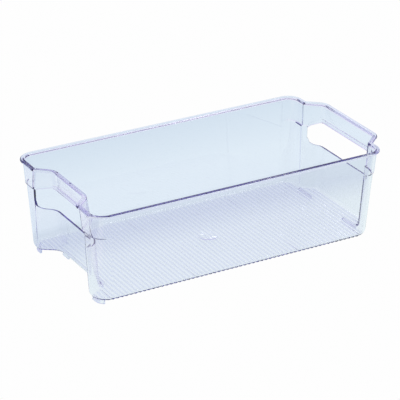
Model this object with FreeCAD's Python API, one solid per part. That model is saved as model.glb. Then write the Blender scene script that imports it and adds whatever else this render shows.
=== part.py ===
"""Clear refrigerator bin with a handle band over a hand hole at each end.

The real bin is one injection moulding. It is built here as its own regions: floor, walls,
corner posts, stacking collars, end panels, handle bands, rim and feet. Each is a closed
solid, and neighbours meet face to face. Millimetres. The origin is on the standing plane
under the middle of the bin: +X runs along it towards the outset end, +Z is up.
"""
import FreeCAD
import Part
import math
import os
from FreeCAD import Vector

# Overall sizes, over the rim and down to the feet
length = 316.0
width = 160.0
height = 91.0

# Moulding
wall = 2.0
base_thickness = 2.2
foot_height = 3.6
rim_overhang = 2.5       # how far the rim stands out from the wall
rim_depth = 2.8          # how far the rim turns down

# Draft: how far each wall leans in from the rim down to the floor
side_lean = 6.8
lobe_lean = 4.0
recess_lean = 7.4
outset_lean = 7.6

# End shape in plan. The left panel is set in between its lobes, the right one stands out.
recess_depth = 14.4
outset_depth = 15.2
lobe_width_base = 17.7   # from the inner side to where a lobe meets its step, at the floor
left_lobe_width_ledge = 25.0
left_lobe_width_rim = 30.7
right_lobe_width_rim = 19.9
step_run_base = 11.0     # width of a step panel across the bin, at the floor
step_run_rim = 13.0      # the same at the rim
left_corner_radius_base = 12.0
left_corner_radius_rim = 12.0
right_corner_radius_base = 11.0
right_corner_radius_rim = 10.5
crease_allowance = 3.0   # least straight wall between a lobe's corner and its crease
tight_bend = 4.0
recess_bend = 15.0
outset_bend = 8.0

# Stacking collar: above this ledge the lobes stand further out
ledge_height = 67.4
collar_step = 1.3

# Hand holes
hole_bottom = 48.4
hole_top = 71.5
hole_corner = 8.0
hole_arch_round = 6.0
left_hole_inset = -1.0   # from a crease in to the side of the hand hole
right_hole_inset = 4.0
bead_depth = 3.0         # bead along the lower edge of the handle band
bead_overhang = 1.6

# Ribs under the floor, and the gate mark on top of it
rib_pitch = 4.5
rib_width = 1.2
rib_rise = 0.35
rib_margin = 1.0         # from the ends of a rib to the rounded edge of the base
gate_diameter = 21.0
gate_rise = 0.8

# Feet
foot_width = 2.0
foot_inset = 0.6         # from the inner wall line to the outer side of a lobe foot
foot_sweep = 0.65        # share of the corner bend that a lobe foot runs round
left_bar_length = 10.5
right_bar_length = 21.5
bar_clearance = 1.5      # from the outer end of a bar foot to the crease or bend beyond it

seam_clearance = 3.0     # straight wall kept on each side of a corner post
EDGE_STEPS = 3           # flats that make up the rounded edge of the base

# Worked out from the sizes above
floor_top = foot_height + base_thickness
rim_half_width = width / 2 - rim_overhang - wall
rim_half_length = length / 2 - rim_overhang - wall

MID = ("bend", 0.5)      # a seam halfway round a bend

# Corners of the outline, anticlockwise from the front left
FRONT_LEFT, FRONT_RIGHT = 0, 1
RIGHT_CREASE_FRONT, RIGHT_BEND_FRONT, RIGHT_BEND_BACK, RIGHT_CREASE_BACK = 2, 3, 4, 5
BACK_RIGHT, BACK_LEFT = 6, 7
LEFT_CREASE_BACK, LEFT_BEND_BACK, LEFT_BEND_FRONT, LEFT_CREASE_FRONT = 8, 9, 10, 11


def between(at_base, at_rim, z):
    """A size at height z, which changes evenly from the floor to the rim."""
    return at_base + (at_rim - at_base) * (z - floor_top) / (height - floor_top)


def left_lobe_width(z):
    """Width of a left lobe at height z, which changes faster above the ledge."""
    if z < ledge_height:
        share = (z - floor_top) / (ledge_height - floor_top)
        return lobe_width_base + (left_lobe_width_ledge - lobe_width_base) * share
    share = (z - ledge_height) / (height - ledge_height)
    return left_lobe_width_ledge + (left_lobe_width_rim - left_lobe_width_ledge) * share


def outline_corners(z, collar):
    """Corners (x, y, bend radius) of the inner face at height z, above or below the ledge."""
    step_in = 0.0 if collar else collar_step
    side = between(rim_half_width - side_lean, rim_half_width, z)
    lobe_slope = between(lobe_lean, 0.0, z) + step_in
    left_lobe = -(rim_half_length - lobe_slope)
    left_panel = -(rim_half_length - recess_depth - between(recess_lean, 0.0, z))
    right_lobe = rim_half_length - outset_depth - lobe_slope
    right_panel = rim_half_length - between(outset_lean, 0.0, z)
    run = between(step_run_base, step_run_rim, z)
    left_width = left_lobe_width(z)
    right_width = between(lobe_width_base, right_lobe_width_rim, z)
    left_crease = side - left_width
    right_crease = side - right_width
    left_bend = between(left_corner_radius_base, left_corner_radius_rim, z)
    right_bend = between(right_corner_radius_base, right_corner_radius_rim, z)
    left_corner = min(left_bend, left_width - crease_allowance)
    right_corner = min(right_bend, right_width - crease_allowance)
    return [
        (left_lobe, -side, left_corner),
        (right_lobe, -side, right_corner),
        (right_lobe, -right_crease, tight_bend),
        (right_panel, -(right_crease - run), outset_bend),
        (right_panel, right_crease - run, outset_bend),
        (right_lobe, right_crease, tight_bend),
        (right_lobe, side, right_corner),
        (left_lobe, side, left_corner),
        (left_lobe, left_crease, tight_bend),
        (left_panel, left_crease - run, recess_bend),
        (left_panel, -(left_crease - run), recess_bend),
        (left_lobe, -left_crease, tight_bend),
    ]


def round_corners(corners, offset=0.0):
    """Bends of a closed outline moved outwards by offset, each as centre, radius and angles."""
    least_radius = 0.5
    count = len(corners)
    points = [Vector(x, y, 0) for x, y, _ in corners]
    along = [(points[(i + 1) % count] - points[i]).normalize() for i in range(count)]
    bends = []
    for i, (_, _, radius) in enumerate(corners):
        before, after = along[i - 1], along[i]
        turn = math.atan2(before.cross(after).z, before.dot(after))
        side = math.copysign(1.0, turn)
        outward = Vector(before.y + after.y, -before.x - after.x, 0)
        tip = points[i] + outward * (offset / (1 + before.dot(after)))
        bend = max(radius + side * offset, least_radius)
        centre = tip - outward * (side * bend / (1 + before.dot(after)))
        first = math.atan2(-before.x * side, before.y * side)
        bends.append((centre, bend, first, first + turn))
    return bends


def bend_point(bend, share, z):
    """The point a given share of the way round a bend."""
    centre, radius, first, last = bend
    angle = first + (last - first) * share
    return Vector(centre.x + radius * math.cos(angle), centre.y + radius * math.sin(angle), z)


def bend_edge(bend, start, end, z):
    """The arc from one share of a bend to another."""
    middle = (start + end) / 2
    return Part.Arc(*(bend_point(bend, share, z) for share in (start, middle, end))).toShape()


def path_edges(bends, corners, start, end, z):
    """Edges along an outline through some of its corners.

    start and end are ("bend", share), for part of the way round the first or last bend, or
    ("x", value), for the point with that x on the straight before or after it."""
    first, last = corners[0], corners[-1]
    edges = []
    for number in corners:
        opens = start[1] if number == first and start[0] == "bend" else 0.0
        closes = end[1] if number == last and end[0] == "bend" else 1.0
        if edges:
            edges.append(Part.LineSegment(edges[-1].Vertexes[-1].Point,
                                          bend_point(bends[number], opens, z)).toShape())
        edges.append(bend_edge(bends[number], opens, closes, z))
    if start[0] == "x":
        bend = bend_point(bends[first], 0.0, z)
        edges.insert(0, Part.LineSegment(Vector(start[1], bend.y, z), bend).toShape())
    if end[0] == "x":
        bend = bend_point(bends[last], 1.0, z)
        edges.append(Part.LineSegment(bend, Vector(end[1], bend.y, z)).toShape())
    return edges


def strip_wire(z, collar, inner, outer, corners, start, end):
    """Closed outline at height z of a strip of moulding between two offsets."""
    near = path_edges(round_corners(outline_corners(z, collar), inner), corners, start, end, z)
    far = path_edges(round_corners(outline_corners(z, collar), outer), corners, start, end, z)
    near_ends = near[0].Vertexes[0].Point, near[-1].Vertexes[-1].Point
    far_ends = far[0].Vertexes[0].Point, far[-1].Vertexes[-1].Point
    caps = [Part.LineSegment(a, b).toShape() for a, b in zip(near_ends, far_ends)]
    return Part.Wire(Part.__sortEdges__(near + [caps[1]] + far + [caps[0]]))


def strip(z_range, inner, outer, corners, start=MID, end=MID, collar=True):
    """A strip of moulding, drafted between two heights."""
    wires = [strip_wire(z, collar, inner, outer, corners, start, end) for z in z_range]
    return Part.makeLoft(wires, True, True)


def side_strip(z_range, inner, outer, side):
    """A straight stretch of a long side, between the corner posts."""
    wires = []
    for z in z_range:
        line = between(rim_half_width - side_lean, rim_half_width, z)
        near, far = side * (line + inner), side * (line + outer)
        corners = [Vector(seam_left, near, z), Vector(seam_right, near, z),
                   Vector(seam_right, far, z), Vector(seam_left, far, z)]
        wires.append(Part.makePolygon(corners + corners[:1]))
    return Part.makeLoft(wires, True, True)


def closed_wire(bends, z):
    """A whole closed outline at height z."""
    edges = []
    for number, bend in enumerate(bends):
        following = bends[(number + 1) % len(bends)]
        edges.append(bend_edge(bend, 0.0, 1.0, z))
        edges.append(Part.LineSegment(bend_point(bend, 1.0, z),
                                      bend_point(following, 0.0, z)).toShape())
    return Part.Wire(edges)


def base_wire(z, offset):
    """The outline of the floor, moved outwards by offset and placed at height z."""
    return closed_wire(round_corners(outline_corners(floor_top, False), offset), z)


def cutter_across(corners):
    """A prism along the right half of the bin, from (y, z, radius) corners of its outline."""
    face = Part.Face(closed_wire(round_corners(corners), 0.0))
    upright = FreeCAD.Matrix(0, 0, 1, 0, 1, 0, 0, 0, 0, 1, 0, 0, 0, 0, 0, 1)
    return face.transformGeometry(upright).extrude(Vector(length, 0, 0))


# Where the long walls end and the corner posts begin: clear of the bends at every height
levels = [outline_corners(z, False) for z in (floor_top, ledge_height, height)]
seam_left = max(corners[FRONT_LEFT][0] + corners[FRONT_LEFT][2] for corners in levels) + seam_clearance
seam_right = min(corners[FRONT_RIGHT][0] - corners[FRONT_RIGHT][2] for corners in levels) - seam_clearance

POSTS = {
    "front_left": ([LEFT_CREASE_FRONT, FRONT_LEFT], MID, ("x", seam_left)),
    "front_right": ([FRONT_RIGHT, RIGHT_CREASE_FRONT], ("x", seam_right), MID),
    "back_right": ([RIGHT_CREASE_BACK, BACK_RIGHT], MID, ("x", seam_right)),
    "back_left": ([BACK_LEFT, LEFT_CREASE_BACK], ("x", seam_left), MID),
}
ENDS = {
    "left": [LEFT_CREASE_BACK, LEFT_BEND_BACK, LEFT_BEND_FRONT, LEFT_CREASE_FRONT],
    "right": [RIGHT_CREASE_FRONT, RIGHT_BEND_FRONT, RIGHT_BEND_BACK, RIGHT_CREASE_BACK],
}
SIDES = {"front": -1, "back": 1}
HOLE_INSETS = {"left": left_hole_inset, "right": right_hole_inset}
below_ledge = (floor_top, ledge_height)
above_ledge = (ledge_height, height)
rim_range = (height - rim_depth, height)


def end_halves(end, z):
    """Half widths of an end panel at height z: out to its creases, and out to its bends."""
    corners = outline_corners(z, True)
    crease, bend = ENDS[end][0], ENDS[end][1]
    return abs(corners[crease][1]), abs(corners[bend][1])


def floor_panel():
    """The base plate, with its lower edge rounded through its whole thickness."""
    wires = []
    for step in range(EDGE_STEPS + 1):
        angle = math.pi / 2 * step / EDGE_STEPS
        rise = base_thickness * (1 - math.cos(angle))
        inset = base_thickness * (1 - math.sin(angle))
        wires.append(base_wire(foot_height + rise, wall - inset))
    return Part.makeLoft(wires, True, True)


def floor_ribs(feet):
    """Fine ribs across the underside, clear of its rounded edge, the gate mark and the feet."""
    edge = wall - base_thickness - rib_margin
    down = Vector(0, 0, -rib_rise)
    field = Part.Face(base_wire(foot_height, edge)).extrude(down)
    gate = Part.Face(Part.Wire(Part.makeCircle(gate_diameter / 2, Vector(0, 0, foot_height))))
    field = field.cut([gate.extrude(down)] + feet)
    half_count = int(length / 2 / rib_pitch)
    blanks = [Part.makeBox(rib_width, width, rib_rise,
                           Vector(i * rib_pitch - rib_width / 2, -width / 2, foot_height - rib_rise))
              for i in range(-half_count, half_count + 1)]
    return field.common(Part.makeCompound(blanks))


def gate_mark():
    """The shallow dome that the injection gate leaves in the middle of the floor."""
    radius = (gate_diameter ** 2 / 4 + gate_rise ** 2) / (2 * gate_rise)
    ball = Part.makeSphere(radius, Vector(0, 0, floor_top + gate_rise - radius))
    return ball.common(Part.makeCylinder(gate_diameter, gate_rise, Vector(0, 0, floor_top)))


def end_panel(end):
    """The panel under a hand hole, with its top edge sweeping up to the creases."""
    over = ledge_height + wall
    half = end_halves(end, hole_bottom)[0] - HOLE_INSETS[end]
    flare = end_halves(end, over)[0] - HOLE_INSETS[end]
    hole = cutter_across([(-flare, over, 0), (-half, hole_bottom, hole_corner),
                          (half, hole_bottom, hole_corner), (flare, over, 0)])
    hole.translate(Vector(-length if end == "left" else 0, 0, 0))
    return strip(below_ledge, 0, wall, ENDS[end], collar=False).cut(hole)


def handle_band(end):
    """The band over a hand hole, arched towards the creases."""
    half = end_halves(end, ledge_height)[0] - max(HOLE_INSETS[end], 0.0)
    bend = end_halves(end, hole_top)[1]
    under = ledge_height - wall
    hole = cutter_across([(-half, under, 0), (half, under, 0), (half, ledge_height, 0),
                          (bend, hole_top, hole_arch_round), (-bend, hole_top, hole_arch_round),
                          (-half, ledge_height, 0)])
    hole.translate(Vector(-length if end == "left" else 0, 0, 0))
    return strip(above_ledge, 0, wall, ENDS[end]).cut(hole)


def handle_bead(end):
    """The bead that stiffens the lower edge of a handle band."""
    return strip((hole_top, hole_top + bead_depth), wall, wall + bead_overhang, ENDS[end][1:3])


def rim(corners):
    """A run of the turned-down rim."""
    return strip(rim_range, wall, wall + rim_overhang, corners)


def lobe_foot(corners, start, end):
    """A curved foot under a left lobe."""
    wire = strip_wire(floor_top, False, -foot_inset - foot_width, -foot_inset, corners, start, end)
    foot = Part.Face(wire).extrude(Vector(0, 0, foot_height))
    foot.translate(Vector(0, 0, -floor_top))
    return foot


def bar_feet(line, half_end, long):
    """A pair of straight feet across one end, with their outer sides on the given line."""
    inward = -math.copysign(foot_width, line)
    low = min(line, line + inward)
    return [Part.makeBox(foot_width, long, foot_height, Vector(low, y, 0))
            for y in (half_end - long, -half_end)]


def feet():
    """Feet under the lobes of the recessed end, and bars across both ends."""
    base = outline_corners(floor_top, False)
    sweep, back_sweep = ("bend", foot_sweep), ("bend", 1 - foot_sweep)
    lobes = [lobe_foot([LEFT_CREASE_FRONT, FRONT_LEFT], MID, sweep),
             lobe_foot([BACK_LEFT, LEFT_CREASE_BACK], back_sweep, MID)]
    recess_line, bend_half, _ = base[LEFT_BEND_BACK]
    lobe_line, crease_half, _ = base[RIGHT_CREASE_BACK]
    bars = bar_feet(recess_line + foot_inset, bend_half - bar_clearance, left_bar_length)
    bars += bar_feet(lobe_line - foot_inset, crease_half - bar_clearance, right_bar_length)
    return lobes, bars


def build():
    """Every node of the bin by name."""
    lobe_feet, end_feet = feet()
    nodes = {"floor_panel": floor_panel(), "floor_ribs": floor_ribs(lobe_feet + end_feet),
             "gate_mark": gate_mark(), "lobe_feet": Part.makeCompound(lobe_feet),
             "end_feet": Part.makeCompound(end_feet)}
    for name, side in SIDES.items():
        nodes[name + "_wall"] = side_strip((floor_top, height), 0, wall, side)
    for name, (corners, start, end) in POSTS.items():
        nodes["corner_post_" + name] = strip(below_ledge, 0, wall, corners, start, end, collar=False)
        nodes["collar_" + name] = strip(above_ledge, 0, wall, corners, start, end)
    for end in ENDS:
        nodes[end + "_end_panel"] = end_panel(end)
        nodes[end + "_handle_band"] = handle_band(end)
        nodes[end + "_handle_bead"] = handle_bead(end)
        nodes[end + "_rim"] = rim(ENDS[end])
    nodes["front_rim"] = rim([LEFT_CREASE_FRONT, FRONT_LEFT, FRONT_RIGHT, RIGHT_CREASE_FRONT])
    nodes["back_rim"] = rim([RIGHT_CREASE_BACK, BACK_RIGHT, BACK_LEFT, LEFT_CREASE_BACK])
    return nodes


os.makedirs("parts", exist_ok=True)
for node, shape in build().items():
    shape.exportStep(f"parts/{node}.step")
    box = shape.BoundBox
    print(f"{node:26s} solids {len(shape.Solids):3d} valid {shape.isValid()} volume {shape.Volume:9.1f}"
          f"  x {box.XMin:7.1f} {box.XMax:7.1f}  y {box.YMin:6.1f} {box.YMax:6.1f}"
          f"  z {box.ZMin:5.1f} {box.ZMax:5.1f}")
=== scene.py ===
"""Clear refrigerator bin, as one continuous transparent moulding with six feet.

Metres, in the frame's own axes: +X runs along the bin towards the end that stands out, +Z is
up. Most heights come from the frame's nodes, and the plan and the draft match the CAD
model. The rounded edges, and how far the ribs and the gate stand out, are set here for the
look. The moulding is a closed skin: rings of points that follow the outline from the floor
up the inside, over the rim and down the outside, with a lip round each hand hole.
"""
import math

import bmesh
import bpy
from mathutils import Matrix, Vector


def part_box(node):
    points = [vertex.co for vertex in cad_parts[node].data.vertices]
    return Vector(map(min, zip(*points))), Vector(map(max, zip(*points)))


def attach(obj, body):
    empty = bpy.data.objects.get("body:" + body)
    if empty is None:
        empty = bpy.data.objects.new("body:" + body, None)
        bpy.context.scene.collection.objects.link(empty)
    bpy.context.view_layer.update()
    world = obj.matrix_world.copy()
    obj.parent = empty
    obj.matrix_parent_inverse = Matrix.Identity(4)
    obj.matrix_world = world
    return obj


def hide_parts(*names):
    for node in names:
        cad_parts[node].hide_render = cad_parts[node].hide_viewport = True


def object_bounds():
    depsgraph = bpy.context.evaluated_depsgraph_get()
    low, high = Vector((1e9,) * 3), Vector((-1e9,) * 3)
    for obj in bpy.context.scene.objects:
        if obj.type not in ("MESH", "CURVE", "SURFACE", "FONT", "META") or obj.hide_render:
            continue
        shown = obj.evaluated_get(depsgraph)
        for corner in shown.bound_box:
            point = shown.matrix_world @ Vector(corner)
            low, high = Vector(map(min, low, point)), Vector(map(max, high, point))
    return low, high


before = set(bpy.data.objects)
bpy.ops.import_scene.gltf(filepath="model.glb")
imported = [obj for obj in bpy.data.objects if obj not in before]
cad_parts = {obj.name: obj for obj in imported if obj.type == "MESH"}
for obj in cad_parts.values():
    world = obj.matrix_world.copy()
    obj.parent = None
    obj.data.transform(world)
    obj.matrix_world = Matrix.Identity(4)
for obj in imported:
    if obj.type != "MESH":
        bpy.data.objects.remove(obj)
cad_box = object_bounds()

MM = 0.001
ON_PLANE = 1e-7

# Heights from the frame
low_corner, high_corner = cad_box
foot_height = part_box("floor_panel")[0].z
floor_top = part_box("floor_panel")[1].z
ledge_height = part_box("corner_post_front_left")[1].z
hole_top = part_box("left_handle_bead")[0].z
bead_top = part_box("left_handle_bead")[1].z
rim_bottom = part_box("front_rim")[0].z
rim_top = high_corner.z

# Moulding
wall = 2.0 * MM
rim_overhang = 2.5 * MM
bead_overhang = 1.6 * MM
hole_bottom = 48.4 * MM
hole_corner = 8.0 * MM
hole_top_corner = 3.0 * MM
collar_step = 1.3 * MM
rim_half_width = high_corner.y - rim_overhang - wall
rim_half_length = high_corner.x - rim_overhang - wall

# Draft, and the shape of the two ends in plan
side_lean = 6.8 * MM
lobe_lean = 4.0 * MM
recess_lean = 7.4 * MM
outset_lean = 7.6 * MM
recess_depth = 14.4 * MM
outset_depth = 15.2 * MM
lobe_width_base = 17.7 * MM
left_lobe_width_ledge = 25.0 * MM
left_lobe_width_rim = 30.7 * MM
right_lobe_width_rim = 19.9 * MM
step_run_base = 11.0 * MM
step_run_rim = 13.0 * MM
left_corner_radius_base = 12.0 * MM
left_corner_radius_rim = 12.0 * MM
right_corner_radius_base = 11.0 * MM
right_corner_radius_rim = 10.5 * MM
tight_bend = 4.0 * MM
recess_bend = 15.0 * MM
outset_bend = 8.0 * MM

# Rounding of the moulding's own edges
base_edge_radius = 5.0 * MM
floor_fillet = 1.8 * MM
rim_edge_radius = 1.3 * MM
rim_root_fillet = 1.0 * MM
lip_radius = 0.7 * MM
ledge_half_depth = 0.6 * MM
flat_margin = 1.5 * MM
least_bend = 0.5 * MM
ROUND_STEPS = 5
FILLET_STEPS = 6
BASE_STEPS = 7

# Rows of points up the ledge: the share of its depth, then of the collar's step, then of the bead
INNER_LEDGE = ((0.3, 0.12), (0.7, 0.88), (1.0, 1.0))
OUTER_LEDGE = ((1.0, 1.0, 0.0), (0.85, 0.9, 0.75), (0.6, 0.5, 1.0), (0.2, 0.1, 1.0))

# Steps round each bend of the outline and along each straight, and the stations over which a
# hand hole's edges leave the height of the lobes
CORNER_TURNS = 14
CREASE_TURNS = 6
BEND_TURNS = 8
LOBE_PARTS = 2
LONG_SIDE_PARTS = 12
PANEL_PARTS = 6
STEP_RUN_PARTS = 16
BLEND_STATIONS = 3

# Ribs under the floor, and the gate mark
rib_pitch = 4.5 * MM
rib_foot_width = 2.6 * MM
rib_crest_width = 0.8 * MM
rib_rise = 0.18 * MM
edge_rib_rise = 0.45 * MM
RIB_EDGE_GAIN = 2.0  # how soon the ribs grow on the rounded edge along the long sides
RIB_END_FADE = 4.0   # how soon they fade where the edge turns to the ends
RIB_WALL_FADE = 1.6  # how soon they fade up the edge towards the wall
gate_radius = 10.5 * MM
gate_rise = 0.9 * MM
gate_lip = 0.2 * MM
GATE_LIP_SHARE = 0.03
GATE_TURNS = 64
GATE_STEPS = 10
gate_cuts = [y * MM for y in (-10.5, -9.3, -7.5, -5.0, -2.0, 2.0, 5.0, 7.5, 9.3, 10.5)]

# Feet
foot_width = 2.0 * MM
foot_gap = 0.02 * MM
foot_inset = 0.6 * MM
foot_sweep = 0.65
foot_edge_radius = 0.5 * MM
FOOT_STEPS = 8
left_bar_length = 10.5 * MM
right_bar_length = 21.5 * MM
bar_clearance = 1.5 * MM

# Corners of the outline, anticlockwise from the front left
FRONT_LEFT, FRONT_RIGHT = 0, 1
RIGHT_CREASE_FRONT, RIGHT_BEND_FRONT, RIGHT_BEND_BACK, RIGHT_CREASE_BACK = 2, 3, 4, 5
BACK_RIGHT, BACK_LEFT = 6, 7
LEFT_CREASE_BACK, LEFT_BEND_BACK, LEFT_BEND_FRONT, LEFT_CREASE_FRONT = 8, 9, 10, 11
CORNERS = (FRONT_LEFT, FRONT_RIGHT, BACK_RIGHT, BACK_LEFT)
CREASES = (RIGHT_CREASE_FRONT, RIGHT_CREASE_BACK, LEFT_CREASE_BACK, LEFT_CREASE_FRONT)
CORNER_COUNT = 12
ENDS = {
    "right": (RIGHT_CREASE_FRONT, RIGHT_BEND_FRONT, RIGHT_BEND_BACK, RIGHT_CREASE_BACK),
    "left": (LEFT_CREASE_BACK, LEFT_BEND_BACK, LEFT_BEND_FRONT, LEFT_CREASE_FRONT),
}


# ---------------------------------------------------------------- the outline

def between(at_base, at_rim, z):
    """A size at height z, which changes evenly from the floor to the rim."""
    return at_base + (at_rim - at_base) * (z - floor_top) / (rim_top - floor_top)


def left_lobe_width(z):
    """Width of a left lobe at height z, which changes faster above the ledge."""
    if z < ledge_height:
        share = (z - floor_top) / (ledge_height - floor_top)
        return lobe_width_base + (left_lobe_width_ledge - lobe_width_base) * share
    share = (z - ledge_height) / (rim_top - ledge_height)
    return left_lobe_width_ledge + (left_lobe_width_rim - left_lobe_width_ledge) * share


def outline_corners(z, collar):
    """Corners (x, y, bend radius) of the inner face at height z; collar runs from 0 to 1."""
    side = between(rim_half_width - side_lean, rim_half_width, z)
    lobe_slope = between(lobe_lean, 0.0, z) + collar_step * (1.0 - collar)
    left_lobe = -(rim_half_length - lobe_slope)
    left_panel = -(rim_half_length - recess_depth - between(recess_lean, 0.0, z))
    right_lobe = rim_half_length - outset_depth - lobe_slope
    right_panel = rim_half_length - between(outset_lean, 0.0, z)
    run = between(step_run_base, step_run_rim, z)
    left_crease = side - left_lobe_width(z)
    right_crease = side - between(lobe_width_base, right_lobe_width_rim, z)
    left_corner = between(left_corner_radius_base, left_corner_radius_rim, z)
    right_corner = between(right_corner_radius_base, right_corner_radius_rim, z)
    return [
        (left_lobe, -side, left_corner),
        (right_lobe, -side, right_corner),
        (right_lobe, -right_crease, tight_bend),
        (right_panel, -(right_crease - run), outset_bend),
        (right_panel, right_crease - run, outset_bend),
        (right_lobe, right_crease, tight_bend),
        (right_lobe, side, right_corner),
        (left_lobe, side, left_corner),
        (left_lobe, left_crease, tight_bend),
        (left_panel, left_crease - run, recess_bend),
        (left_panel, -(left_crease - run), recess_bend),
        (left_lobe, -left_crease, tight_bend),
    ]


def bend_at(corners, number, offset):
    """Centre, radius, first angle and turn of one bend of the outline, moved out by offset."""
    x, y, radius = corners[number]
    here = Vector((x, y))
    before = (here - Vector(corners[number - 1][:2])).normalized()
    after = (Vector(corners[(number + 1) % len(corners)][:2]) - here).normalized()
    turn = math.atan2(before.x * after.y - before.y * after.x, before.dot(after))
    side = math.copysign(1.0, turn)
    outward = Vector((before.y + after.y, -before.x - after.x)) / (1.0 + before.dot(after))
    bend = max(radius + side * offset, least_bend)
    centre = here + outward * (offset - side * bend)
    first = math.atan2(-before.x * side, before.y * side)
    return centre, bend, first, turn


def bend_point(corners, number, offset, share):
    """The point a share of the way round one bend."""
    centre, radius, first, turn = bend_at(corners, number, offset)
    angle = first + turn * share
    return Vector((centre.x + radius * math.cos(angle), centre.y + radius * math.sin(angle)))


def outline_point(z, collar, offset, station):
    """The point of the outline at one station: on a bend, or on the straight after it."""
    corners = outline_corners(z, collar)
    number, share, on_bend = station
    if on_bend:
        return bend_point(corners, number, offset, share)
    start = bend_point(corners, number, offset, 1.0)
    end = bend_point(corners, (number + 1) % len(corners), offset, 0.0)
    return start.lerp(end, share)


def make_stations():
    """Stations (corner, share, on_bend) round the outline, closer together where it turns."""
    stations = []
    for number in range(CORNER_COUNT):
        following = (number + 1) % CORNER_COUNT
        if number in CORNERS:
            turns = CORNER_TURNS
            parts = LOBE_PARTS if following in CREASES else LONG_SIDE_PARTS
        elif number in CREASES:
            turns = CREASE_TURNS
            parts = LOBE_PARTS if following in CORNERS else STEP_RUN_PARTS
        else:
            turns = BEND_TURNS
            parts = STEP_RUN_PARTS if following in CREASES else PANEL_PARTS
        stations += [(number, i / turns, True) for i in range(turns + 1)]
        stations += [(number, i / parts, False) for i in range(1, parts)]
    return stations


# How far along the step out from a lobe the right hand hole starts
RIGHT_HOLE_START = 0.25

stations = make_stations()
spans = {}
spans["left"] = (stations.index((LEFT_CREASE_BACK, 0.0, True)),
                 stations.index((LEFT_CREASE_FRONT, 1.0, True)))
spans["right"] = (stations.index((RIGHT_CREASE_FRONT, RIGHT_HOLE_START, False)),
                  stations.index((RIGHT_BEND_BACK, 1.0 - RIGHT_HOLE_START, False)))


def span_of(index):
    """The end whose hand hole spans this station, or None."""
    for end, (first, last) in spans.items():
        if first <= index <= last:
            return end
    return None


def panel_share(index):
    """0 on the lobes, rising to 1 past the side of a hand hole."""
    end = span_of(index)
    if end is None:
        return 0.0
    first, last = spans[end]
    return min(index - first, last - index, BLEND_STATIONS) / BLEND_STATIONS


def bead_share(index):
    """1 where the bead runs along a handle band, between the middles of its two bends."""
    end = span_of(index)
    if end is None:
        return 0.0
    first = stations.index((ENDS[end][1], 0.5, True))
    last = stations.index((ENDS[end][2], 0.5, True))
    return 1.0 if first <= index <= last else 0.0


# ---------------------------------------------------------------- hand hole edges

def ease(share):
    """A gentle S-curve from 0 to 1."""
    share = min(max(share, 0.0), 1.0)
    return 0.5 * share + 0.5 * share * share * (3.0 - 2.0 * share)


def drop(radius, distance):
    """How far a round corner of this radius has fallen at a distance from its vertical side."""
    if distance >= radius:
        return 0.0
    return radius - math.sqrt(radius * radius - (radius - distance) ** 2)


def hole_half_at(end, z):
    """Half the width of a hand hole at height z."""
    return abs(outline_point(z, 0.0, 0.0, stations[spans[end][0]]).y)


def hole_bottom_at(end, y, z):
    """Height of the lower edge of a hand hole at y."""
    inside = max(hole_half_at(end, z) - abs(y), 0.0)
    return hole_bottom + drop(hole_corner, inside) - lip_radius


def hole_top_at(end, y, z, rounded):
    """Height of the upper edge of a hand hole at y, arched between its sides."""
    half, bend = hole_half_at(end, z), abs(outline_corners(z, 1.0)[ENDS[end][1]][1])
    share = (half - abs(y)) / (half - bend)
    height = ledge_height + (hole_top - ledge_height) * ease(share)
    if rounded:
        height -= drop(hole_top_corner, max(half - abs(y), 0.0))
    return height + lip_radius


hole_corner_top = hole_bottom + hole_corner - lip_radius
below_hole = (floor_top + hole_bottom) / 2


# ---------------------------------------------------------------- rings of the moulding

SETTLING_ROUNDS = 3


def ring(height, offset, collar=1.0, panel=None, bead=0.0):
    """Points of one ring. panel(end, y, z) gives its height across an end panel.

    The height there depends on y, and the draft makes y depend on the height, so the two
    are worked out in turn until they settle.
    """
    points = []
    for index, station in enumerate(stations):
        out = offset + bead * bead_share(index)
        z = height
        share = panel_share(index)
        if panel is not None and span_of(index):
            for _ in range(SETTLING_ROUNDS):
                y = outline_point(z, collar, 0.0, station).y
                z = height + (panel(span_of(index), y, z) - height) * share
        points.append(Vector((*outline_point(z, collar, out, station), z)))
    return points


def over_hole(rise):
    """Height rule for a ring that runs a set distance above the hand holes."""
    return lambda end, y, z: hole_top_at(end, y, z, False) + rise


def quarter(steps):
    """Angles of a quarter turn, both ends included."""
    return [math.pi / 2 * i / steps for i in range(steps + 1)]


def inner_rings():
    """Rings of the inside, from the floor to the rim, and which one is below the hand holes."""
    rings = [ring(floor_top, -floor_fillet - flat_margin, 0.0)]
    for angle in quarter(FILLET_STEPS):
        rise = floor_fillet * (1.0 - math.cos(angle))
        rings.append(ring(floor_top + rise, -floor_fillet * (1.0 - math.sin(angle)), 0.0))
    rings.append(ring(below_hole, 0.0, 0.0))
    lower = len(rings)
    rings.append(ring(hole_corner_top, 0.0, 0.0, hole_bottom_at))
    rings.append(ring(ledge_height - ledge_half_depth, 0.0, 0.0,
                      lambda end, y, z: hole_top_at(end, y, z, True)))
    bead_depth = bead_top - hole_top
    for share, collar in INNER_LEDGE:
        height = ledge_height + ledge_half_depth * (2.0 * share - 1.0)
        rings.append(ring(height, 0.0, collar, over_hole(bead_depth * share)))
    for angle in quarter(ROUND_STEPS):
        rise = rim_edge_radius * math.sin(angle)
        rings.append(ring(rim_top - rim_edge_radius + rise,
                          rim_edge_radius * (1.0 - math.cos(angle))))
    return rings, lower


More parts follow.
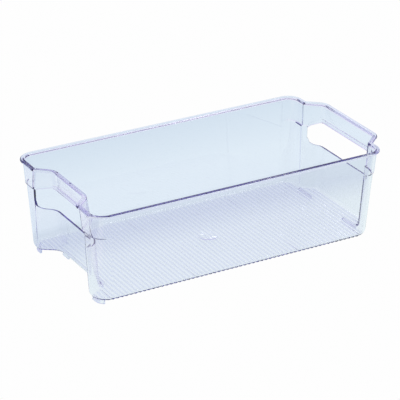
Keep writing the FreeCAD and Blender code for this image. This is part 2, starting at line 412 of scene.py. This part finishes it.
def outer_rings():
    """Rings of the outside, from the rim to the underside, and which is above the hand holes."""
    edge = wall + rim_overhang
    rings = []
    for angle in quarter(ROUND_STEPS):
        rings.append(ring(rim_top - rim_edge_radius * (1.0 - math.cos(angle)),
                          edge - rim_edge_radius * (1.0 - math.sin(angle))))
    for angle in quarter(ROUND_STEPS):
        rings.append(ring(rim_bottom + rim_edge_radius * (1.0 - math.sin(angle)),
                          edge - rim_edge_radius * (1.0 - math.cos(angle))))
    for angle in quarter(ROUND_STEPS):
        rings.append(ring(rim_bottom - rim_root_fillet * (1.0 - math.cos(angle)),
                          wall + rim_root_fillet * (1.0 - math.sin(angle))))
    bead_depth = bead_top - hole_top
    for share, collar, bead in OUTER_LEDGE:
        height = ledge_height + ledge_half_depth * (2.0 * share - 1.0)
        rings.append(ring(height, wall, collar, over_hole(bead_depth * share),
                          bead_overhang * bead))
    upper = len(rings)
    rings.append(ring(ledge_height - ledge_half_depth, wall, 0.0,
                      lambda end, y, z: hole_top_at(end, y, z, True), bead_overhang))
    rings.append(ring(hole_corner_top, wall, 0.0, hole_bottom_at))
    rings.append(ring(below_hole, wall, 0.0))
    for angle in quarter(BASE_STEPS):
        rise = base_edge_radius * (1.0 - math.sin(angle))
        inset = base_edge_radius * (1.0 - math.cos(angle))
        rings.append(base_ring(foot_height + rise, wall - inset))
    rings.append(base_ring(foot_height, wall - base_edge_radius - flat_margin))
    return rings, upper


def base_ring(z, offset):
    """A ring of the rounded base edge, which keeps to the outline at the floor."""
    return [Vector((*outline_point(max(z, floor_top), 0.0, offset, station), z))
            for station in stations]


def add_lip(bm, inner, outer):
    """A rounded lip round a hand hole, from a loop of inner vertices to one of outer ones."""
    count = len(inner)
    middles = [(a.co + b.co) / 2 for a, b in zip(inner, outer)]
    centre = sum(middles, Vector()) / count
    frames = []
    for i in range(count):
        along = middles[(i + 1) % count] - middles[i - 1]
        across = (outer[i].co - inner[i].co).normalized()
        inward = along.cross(across).normalized()
        if inward.dot(centre - middles[i]) < 0.0:
            inward = -inward
        frames.append((across, inward))
    loops = [inner]
    angles = quarter(ROUND_STEPS)[1:]
    for side, start, row_angles in ((1.0, inner, angles), (-1.0, outer, angles[::-1])):
        for angle in row_angles:
            tilt, reach = side * (1.0 - math.cos(angle)), math.sin(angle)
            loops.append([bm.verts.new(vert.co + lip_radius * (tilt * across + reach * inward))
                          for vert, (across, inward) in zip(start, frames)])
    loops.append(outer)
    for first, second in zip(loops, loops[1:]):
        for i in range(count):
            j = (i + 1) % count
            bm.faces.new((first[i], first[j], second[j], second[i]))


def hole_loop(rows, lower, upper, first, last):
    """Vertices round a hand hole: along its lower edge, then back along its upper one."""
    bottom = [rows[lower][i] for i in range(first, last + 1)]
    top = [rows[upper][i] for i in range(last, first - 1, -1)]
    return bottom + top


def add_ribs(bm, faces):
    """Fine ribs across the underside, which run on over the rounded edge of the base.

    Extra cuts beside the gate let the ribs stop close round it.
    """
    geometry = list({part for face in faces for part in (face, *face.edges, *face.verts)})
    half_count = int(high_corner.x / rib_pitch)
    for number in range(-half_count, half_count + 1):
        for half in (-rib_foot_width / 2, -rib_crest_width / 2,
                     rib_crest_width / 2, rib_foot_width / 2):
            x = number * rib_pitch + half
            cut = bmesh.ops.bisect_plane(bm, geom=geometry, dist=ON_PLANE, plane_co=(x, 0, 0),
                                         plane_no=(1, 0, 0))
            geometry = cut["geom"]
    for y in gate_cuts:
        cut = bmesh.ops.bisect_plane(bm, geom=geometry, dist=ON_PLANE, plane_co=(0, y, 0),
                                     plane_no=(0, 1, 0))
        geometry = cut["geom"]
    bm.normal_update()
    verts = [part for part in geometry if isinstance(part, bmesh.types.BMVert)]
    moves = []
    for vert in verts:
        if vert.co.xy.length < gate_radius:
            continue
        from_middle = abs((vert.co.x + rib_pitch / 2) % rib_pitch - rib_pitch / 2)
        up_flank = (rib_foot_width / 2 - from_middle) / (rib_foot_width / 2 - rib_crest_width / 2)
        edge = min(1.0, RIB_EDGE_GAIN * abs(vert.normal.y))
        rise = rib_rise + (edge_rib_rise - rib_rise) * edge
        rise *= max(0.0, 1.0 - RIB_END_FADE * abs(vert.normal.x))
        rise *= max(0.0, min(1.0, -RIB_WALL_FADE * vert.normal.z))
        rise *= max(0.0, min(1.0, up_flank))
        moves.append((vert, vert.normal * rise))
    for vert, move in moves:
        vert.co += move


def add_floor(bm, edge):
    """The floor inside its rounded edge, with the shallow dome of the gate in the middle."""
    places = [(1.0, 0.0)]
    for step in range(GATE_STEPS - 1):
        share = 1.0 - step / GATE_STEPS - GATE_LIP_SHARE
        places.append((share, gate_lip + (gate_rise - gate_lip) * (1.0 - share * share)))
    circles = []
    for share, rise in places:
        circles.append([bm.verts.new((gate_radius * share * math.cos(math.tau * i / GATE_TURNS),
                                      gate_radius * share * math.sin(math.tau * i / GATE_TURNS),
                                      floor_top + rise)) for i in range(GATE_TURNS)])
    top = bm.verts.new((0.0, 0.0, floor_top + gate_rise))
    for outer, inner in zip(circles, circles[1:]):
        for i in range(GATE_TURNS):
            j = (i + 1) % GATE_TURNS
            bm.faces.new((outer[i], outer[j], inner[j], inner[i]))
    for i in range(GATE_TURNS):
        bm.faces.new((circles[-1][i], circles[-1][(i + 1) % GATE_TURNS], top))
    border = [bm.edges.get((loop[i - 1], loop[i])) or bm.edges.new((loop[i - 1], loop[i]))
              for loop in (edge, circles[0]) for i in range(len(loop))]
    bmesh.ops.triangle_fill(bm, use_beauty=True, edges=border)


def foot(name, outline, material):
    """A foot under the base, with its lower edges rounded."""
    bm = bmesh.new()
    top = foot_height - rib_rise - foot_gap
    upper = [bm.verts.new((point.x, point.y, top)) for point in outline]
    lower = [bm.verts.new((point.x, point.y, low_corner.z)) for point in outline]
    count = len(outline)
    for i in range(count):
        j = (i + 1) % count
        bm.faces.new((upper[i], upper[j], lower[j], lower[i]))
    bm.faces.new(upper)
    bottom = bm.faces.new(lower)
    bmesh.ops.recalc_face_normals(bm, faces=bm.faces)
    bmesh.ops.bevel(bm, geom=list(bottom.edges), offset=foot_edge_radius, segments=3,
                    affect="EDGES", profile=0.5)
    mesh = bpy.data.meshes.new(name)
    bm.to_mesh(mesh)
    bm.free()
    return add_piece(name, mesh, material)


def lobe_foot_outline(crease, corner, side):
    """Outline of the curved foot under one left lobe, from halfway round its crease."""
    corners = outline_corners(floor_top, 0.0)
    first, last = (crease, corner) if side < 0 else (corner, crease)
    path = []
    for offset in (-foot_inset, -foot_inset - foot_width):
        line = []
        for number in (first, last):
            start, end = 0.0, 1.0
            if number == crease:
                start, end = (0.5, 1.0) if side < 0 else (0.0, 0.5)
            else:
                start, end = (0.0, foot_sweep) if side < 0 else (1.0 - foot_sweep, 1.0)
            line += [bend_point(corners, number, offset, start + (end - start) * i / FOOT_STEPS)
                     for i in range(FOOT_STEPS + 1)]
        path += line if not path else line[::-1]
    return path


def bar_outline(line, y_low, y_high):
    """Outline of a straight foot whose outer side is on the given line across the bin."""
    inner = line - math.copysign(foot_width, line)
    return [Vector((line, y_low)), Vector((inner, y_low)),
            Vector((inner, y_high)), Vector((line, y_high))]


def foot_outlines():
    """Outlines of all the feet by name."""
    base = outline_corners(floor_top, 0.0)
    left = base[LEFT_BEND_BACK][0] + foot_inset
    left_half = base[LEFT_BEND_BACK][1] - bar_clearance
    right = base[RIGHT_CREASE_BACK][0] - foot_inset
    right_half = base[RIGHT_CREASE_BACK][1] - bar_clearance
    return {
        "lobe_foot_front": lobe_foot_outline(LEFT_CREASE_FRONT, FRONT_LEFT, -1),
        "lobe_foot_back": lobe_foot_outline(LEFT_CREASE_BACK, BACK_LEFT, 1),
        "bar_foot_left_front": bar_outline(left, -left_half, left_bar_length - left_half),
        "bar_foot_left_back": bar_outline(left, left_half - left_bar_length, left_half),
        "bar_foot_right_front": bar_outline(right, -right_half, right_bar_length - right_half),
        "bar_foot_right_back": bar_outline(right, right_half - right_bar_length, right_half),
    }


def moulding():
    """The whole bin as one closed mesh."""
    bm = bmesh.new()
    inside, lower_in = inner_rings()
    outside, upper_out = outer_rings()
    rows = [[bm.verts.new(point) for point in points] for points in inside + outside]
    upper_out += len(inside)
    windows = {(lower_in, lower_in + 1), (upper_out, upper_out + 1)}
    count = len(stations)
    under = []
    first_base = len(rows) - BASE_STEPS - 2
    for row in range(len(rows) - 1):
        for i in range(count):
            j = (i + 1) % count
            if (row, row + 1) in windows and span_of(i) and span_of(j):
                continue
            face = bm.faces.new((rows[row][i], rows[row][j], rows[row + 1][j], rows[row + 1][i]))
            if row >= first_base:
                under.append(face)
    for first, last in spans.values():
        inner = hole_loop(rows, lower_in, lower_in + 1, first, last)
        outer = hole_loop(rows, upper_out + 1, upper_out, first, last)
        add_lip(bm, inner, outer)
    add_floor(bm, rows[0])
    under.append(bm.faces.new(rows[-1]))
    bmesh.ops.recalc_face_normals(bm, faces=bm.faces)
    add_ribs(bm, under)
    mesh = bpy.data.meshes.new("bin_moulding")
    bm.to_mesh(mesh)
    bm.free()
    return mesh


def add_piece(name, mesh, material):
    """A piece with smooth shading that keeps its flat faces flat."""
    for polygon in mesh.polygons:
        polygon.use_smooth = True
    piece = bpy.data.objects.new(name, mesh)
    bpy.context.scene.collection.objects.link(piece)
    mesh.materials.append(material)
    keep_flats = piece.modifiers.new("keep_flats", "WEIGHTED_NORMAL")
    keep_flats.mode = "FACE_AREA"
    keep_flats.weight = 50
    return piece


# ---------------------------------------------------------------- materials

CLEAR_TINT = (0.97, 0.972, 0.985, 1.0)
# Painted shade: the hollows between the ribs under the floor are painted this darker violet, below
# the height given
HOLLOW_PAINTED_SHADE = (0.66, 0.69, 0.86, 1.0)
HOLLOW_START, HOLLOW_FULL = 0.5, -0.9
HOLLOW_HEIGHT = foot_height + 0.2 * MM
PLASTIC_IOR = 1.5
PATCH_SCALE = 45.0
DULLEST_PATCH = 0.035
WAVE_SCALE = 28.0
WAVE_STRENGTH = 0.06
WAVE_DEPTH = 0.5 * MM
DEPTH_COLOR = (0.34, 0.29, 0.70, 1.0)
DEPTH_DENSITY = 20.0


def math_node(nodes, links, operation, first, second=0.0):
    """A math node fed by an output and a second output or number."""
    node = nodes.new("ShaderNodeMath")
    node.operation = operation
    links.new(first, node.inputs[0])
    if isinstance(second, float):
        node.inputs[1].default_value = second
    else:
        links.new(second, node.inputs[1])
    return node.outputs["Value"]


def rib_hollow_painted_shade(nodes, links, place):
    """Clear colour, with painted shade: the hollows between the floor's ribs a little more violet.
    """
    axes = nodes.new("ShaderNodeSeparateXYZ")
    links.new(place, axes.inputs["Vector"])
    turn = math_node(nodes, links, "MULTIPLY", axes.outputs["X"], math.tau / rib_pitch)
    wave = nodes.new("ShaderNodeMapRange")
    wave.interpolation_type = "SMOOTHSTEP"
    wave.inputs["From Min"].default_value = HOLLOW_START
    wave.inputs["From Max"].default_value = HOLLOW_FULL
    links.new(math_node(nodes, links, "COSINE", turn), wave.inputs["Value"])
    under = math_node(nodes, links, "LESS_THAN", axes.outputs["Z"], HOLLOW_HEIGHT)
    shade_mask = math_node(nodes, links, "MULTIPLY", wave.outputs["Result"], under)
    painted_shade_mix = nodes.new("ShaderNodeMix")
    painted_shade_mix.data_type = "RGBA"
    painted_shade_mix.inputs["A"].default_value = CLEAR_TINT
    painted_shade_mix.inputs["B"].default_value = HOLLOW_PAINTED_SHADE
    links.new(shade_mask, painted_shade_mix.inputs["Factor"])
    return painted_shade_mix.outputs["Result"]


def clear_plastic():
    """Clear polished plastic: faintly wavy, a little duller in patches, violet where it is deep."""
    material = bpy.data.materials.new("clear_plastic")
    material.use_nodes = True
    nodes, links = material.node_tree.nodes, material.node_tree.links
    shader = nodes["Principled BSDF"]
    shader.inputs["Transmission Weight"].default_value = 1.0
    shader.inputs["IOR"].default_value = PLASTIC_IOR
    place = nodes.new("ShaderNodeTexCoord")
    patches = nodes.new("ShaderNodeTexNoise")
    patches.inputs["Scale"].default_value = PATCH_SCALE
    patches.inputs["Detail"].default_value = 3.0
    polish = nodes.new("ShaderNodeMapRange")
    polish.inputs["To Min"].default_value = 0.0
    polish.inputs["To Max"].default_value = DULLEST_PATCH
    waves = nodes.new("ShaderNodeTexNoise")
    waves.inputs["Scale"].default_value = WAVE_SCALE
    waves.inputs["Detail"].default_value = 1.0
    ripple = nodes.new("ShaderNodeBump")
    ripple.inputs["Strength"].default_value = WAVE_STRENGTH
    ripple.inputs["Distance"].default_value = WAVE_DEPTH
    links.new(place.outputs["Object"], patches.inputs["Vector"])
    links.new(place.outputs["Object"], waves.inputs["Vector"])
    links.new(patches.outputs["Fac"], polish.inputs["Value"])
    links.new(polish.outputs["Result"], shader.inputs["Roughness"])
    links.new(waves.outputs["Fac"], ripple.inputs["Height"])
    links.new(ripple.outputs["Normal"], shader.inputs["Normal"])
    # The base colour carries the painted shade in the hollows between the ribs
    links.new(rib_hollow_painted_shade(nodes, links, place.outputs["Object"]), shader.inputs["Base Color"])
    volume = nodes.new("ShaderNodeVolumeAbsorption")
    volume.inputs["Color"].default_value = DEPTH_COLOR
    volume.inputs["Density"].default_value = DEPTH_DENSITY
    links.new(volume.outputs["Volume"], nodes["Material Output"].inputs["Volume"])
    return material


# ---------------------------------------------------------------- stage, light and camera

SHEET_WHITE = (0.99, 0.99, 0.99, 1.0)
SHEET_TINT = (0.80, 0.90, 0.965, 1.0)
SHADE_VIOLET = (0.32, 0.28, 0.58, 1.0)
LIT_WHITE = (1.15, 1.15, 1.15, 1.0)
SHEET_SIZE = 12.0
SHEET_LEFT, SHEET_RIGHT = -0.6, 0.8
# Painted light and shade: bands of lit white and violet shade across the sheet, as the bin sees it
SHEET_BANDS = ((SHEET_LEFT, LIT_WHITE), (-0.34, LIT_WHITE), (-0.31, SHADE_VIOLET),
               (-0.26, SHADE_VIOLET), (-0.24, LIT_WHITE), (-0.21, LIT_WHITE),
               (-0.18, SHEET_TINT), (0.33, SHEET_TINT), (0.36, LIT_WHITE),
               (0.40, LIT_WHITE), (0.43, SHADE_VIOLET), (0.48, SHADE_VIOLET),
               (0.51, LIT_WHITE), (SHEET_RIGHT, LIT_WHITE))
SHEET_FRONT, SHEET_BACK = -0.12, 0.26
# Painted light: the sheet as the bin sees it is brighter towards the front and darker towards the
# back
FRONT_FALLOFF = (1.12, 1.10, 1.01, 1.0)
MIDDLE_FALLOFF = (1.07, 1.06, 0.99, 1.0)
BACK_FALLOFF = (0.86, 0.87, 0.89, 1.0)
NO_FALLOFF = (1.0, 1.0, 1.0, 1.0)
FAR_FALLOFF = (0.85, 0.88, 0.92, 1.0)
SHEET_FALLOFF = ((SHEET_FRONT, FRONT_FALLOFF), (-0.07, FRONT_FALLOFF), (0.01, MIDDLE_FALLOFF),
                 (0.055, BACK_FALLOFF), (0.085, BACK_FALLOFF), (0.10, NO_FALLOFF),
                 (0.15, NO_FALLOFF), (SHEET_BACK, FAR_FALLOFF))

# How far a direction faces the shade behind the camera, and the studio's colour there
SHADE_DIRECTION = (-0.45, -0.87, 0.18)
STUDIO_TONES = ((0.0, (0.78, 0.75, 0.96, 1.0)), (0.10, (1.05, 1.05, 1.05, 1.0)),
                (0.25, (0.95, 0.98, 1.0, 1.0)), (0.40, (0.55, 0.52, 0.80, 1.0)),
                (0.55, (0.98, 1.0, 1.02, 1.0)), (0.72, (0.32, 0.28, 0.55, 1.0)),
                (0.9, (0.10, 0.08, 0.22, 1.0)))
LIGHT_BOUNCES = 200


def seen_and_cast(nodes, links, seen, cast):
    """One colour where the camera looks straight at it, another as light on the bin."""
    path = nodes.new("ShaderNodeLightPath")
    mix = nodes.new("ShaderNodeMix")
    mix.data_type = "RGBA"
    mix.inputs["B"].default_value = seen
    links.new(path.outputs["Is Camera Ray"], mix.inputs["Factor"])
    links.new(cast, mix.inputs["A"])
    return mix.outputs["Result"]


def ramp(nodes, links, value, tones):
    """A colour that follows a value through the given (value, colour) tones, in order."""
    low, high = tones[0][0], tones[-1][0]
    place = nodes.new("ShaderNodeMapRange")
    place.inputs["From Min"].default_value = low
    place.inputs["From Max"].default_value = high
    links.new(value, place.inputs["Value"])
    tone = nodes.new("ShaderNodeValToRGB")
    stops = tone.color_ramp.elements
    stops[0].position, stops[0].color = 0.0, tones[0][1]
    stops[1].position, stops[1].color = 1.0, tones[-1][1]
    for number, color in tones[1:-1]:
        stops.new((number - low) / (high - low)).color = color
    links.new(place.outputs["Result"], tone.inputs["Fac"])
    return tone.outputs["Color"]


def make_stage():
    """A white sheet under the bin. What the bin shows of it is tinted, with painted bands of light
    and violet shade at its sides and painted light brighter to the front and darker to the back.
    """
    bpy.ops.mesh.primitive_plane_add(size=SHEET_SIZE, location=(0, 0, low_corner.z))
    sheet = bpy.context.object
    sheet.name = "white_sheet"
    material = bpy.data.materials.new("white_sheet")
    material.use_nodes = True
    nodes, links = material.node_tree.nodes, material.node_tree.links
    nodes.clear()
    output = nodes.new("ShaderNodeOutputMaterial")
    place = nodes.new("ShaderNodeTexCoord")
    axes = nodes.new("ShaderNodeSeparateXYZ")
    links.new(place.outputs["Object"], axes.inputs["Vector"])
    both = nodes.new("ShaderNodeMix")
    both.data_type = "RGBA"
    both.blend_type = "MULTIPLY"
    both.inputs["Factor"].default_value = 1.0
    links.new(ramp(nodes, links, axes.outputs["X"], SHEET_BANDS), both.inputs["A"])
    links.new(ramp(nodes, links, axes.outputs["Y"], SHEET_FALLOFF), both.inputs["B"])
    glow = nodes.new("ShaderNodeEmission")
    cast = seen_and_cast(nodes, links, SHEET_WHITE, both.outputs["Result"])
    links.new(cast, glow.inputs["Color"])
    links.new(glow.outputs["Emission"], output.inputs["Surface"])
    sheet.data.materials.append(material)


def make_world():
    """A bright studio all round, with violet shade behind the camera."""
    world = bpy.data.worlds.new("studio")
    bpy.context.scene.world = world
    world.use_nodes = True
    nodes, links = world.node_tree.nodes, world.node_tree.links
    nodes.clear()
    output = nodes.new("ShaderNodeOutputWorld")
    coordinates = nodes.new("ShaderNodeTexCoord")
    facing = nodes.new("ShaderNodeVectorMath")
    facing.operation = "DOT_PRODUCT"
    facing.inputs[1].default_value = SHADE_DIRECTION
    links.new(coordinates.outputs["Generated"], facing.inputs[0])
    tone = ramp(nodes, links, facing.outputs["Value"], STUDIO_TONES)
    glow = nodes.new("ShaderNodeBackground")
    links.new(seen_and_cast(nodes, links, SHEET_WHITE, tone), glow.inputs["Color"])
    links.new(glow.outputs["Background"], output.inputs["Surface"])


def add_softbox(name, place, size, watts):
    """A square soft light that faces the bin."""
    data = bpy.data.lights.new(name, "AREA")
    data.size = size
    data.energy = watts
    light = bpy.data.objects.new(name, data)
    place = Vector(place)
    turn = place.to_track_quat("Z", "Y").to_matrix().to_4x4()
    light.matrix_world = Matrix.Translation(place) @ turn
    bpy.context.scene.collection.objects.link(light)


def make_lights():
    """Soft lights that leave white glints on the rounded edges and on the gate's dome."""
    add_softbox("high_softbox", place=(0.54, -0.5, 0.95), size=0.35, watts=1.2)
    add_softbox("back_softbox", place=(0.618, 0.851, 0.657), size=0.07, watts=0.05)


def make_camera():
    """A long lens, seen from the front left and above."""
    azimuth = math.radians(-29.90)
    elevation = math.radians(25.04)
    roll = math.radians(0.17)
    target = Vector((-10.1, -3.7, 45.5)) * MM
    distance = 2.020
    back = Vector((math.sin(azimuth) * math.cos(elevation),
                   -math.cos(azimuth) * math.cos(elevation), math.sin(elevation)))
    data = bpy.data.cameras.new("camera")
    data.lens = 197.5
    data.sensor_width = 36.0
    camera = bpy.data.objects.new("camera", data)
    turn = back.to_track_quat("Z", "Y").to_matrix().to_4x4() @ Matrix.Rotation(roll, 4, "Z")
    camera.matrix_world = Matrix.Translation(target + back * distance) @ turn
    bpy.context.scene.collection.objects.link(camera)
    bpy.context.scene.camera = camera


# ---------------------------------------------------------------- assembly

plastic = clear_plastic()
bin_piece = add_piece("bin_moulding", moulding(), plastic)
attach(bin_piece, "root")
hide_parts(*[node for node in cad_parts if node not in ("lobe_feet", "end_feet")])
for name, outline in foot_outlines().items():
    foot_piece = foot(name, outline, plastic)
    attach(foot_piece, "root")
    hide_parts("lobe_feet" if name.startswith("lobe") else "end_feet")

make_stage()
make_world()
make_lights()
make_camera()
bpy.context.scene.view_settings.view_transform = "Standard"

# Light runs a long way inside clear walls before it gets out
paths = bpy.context.scene.cycles
paths.max_bounces = LIGHT_BOUNCES
paths.transmission_bounces = LIGHT_BOUNCES
paths.glossy_bounces = LIGHT_BOUNCES
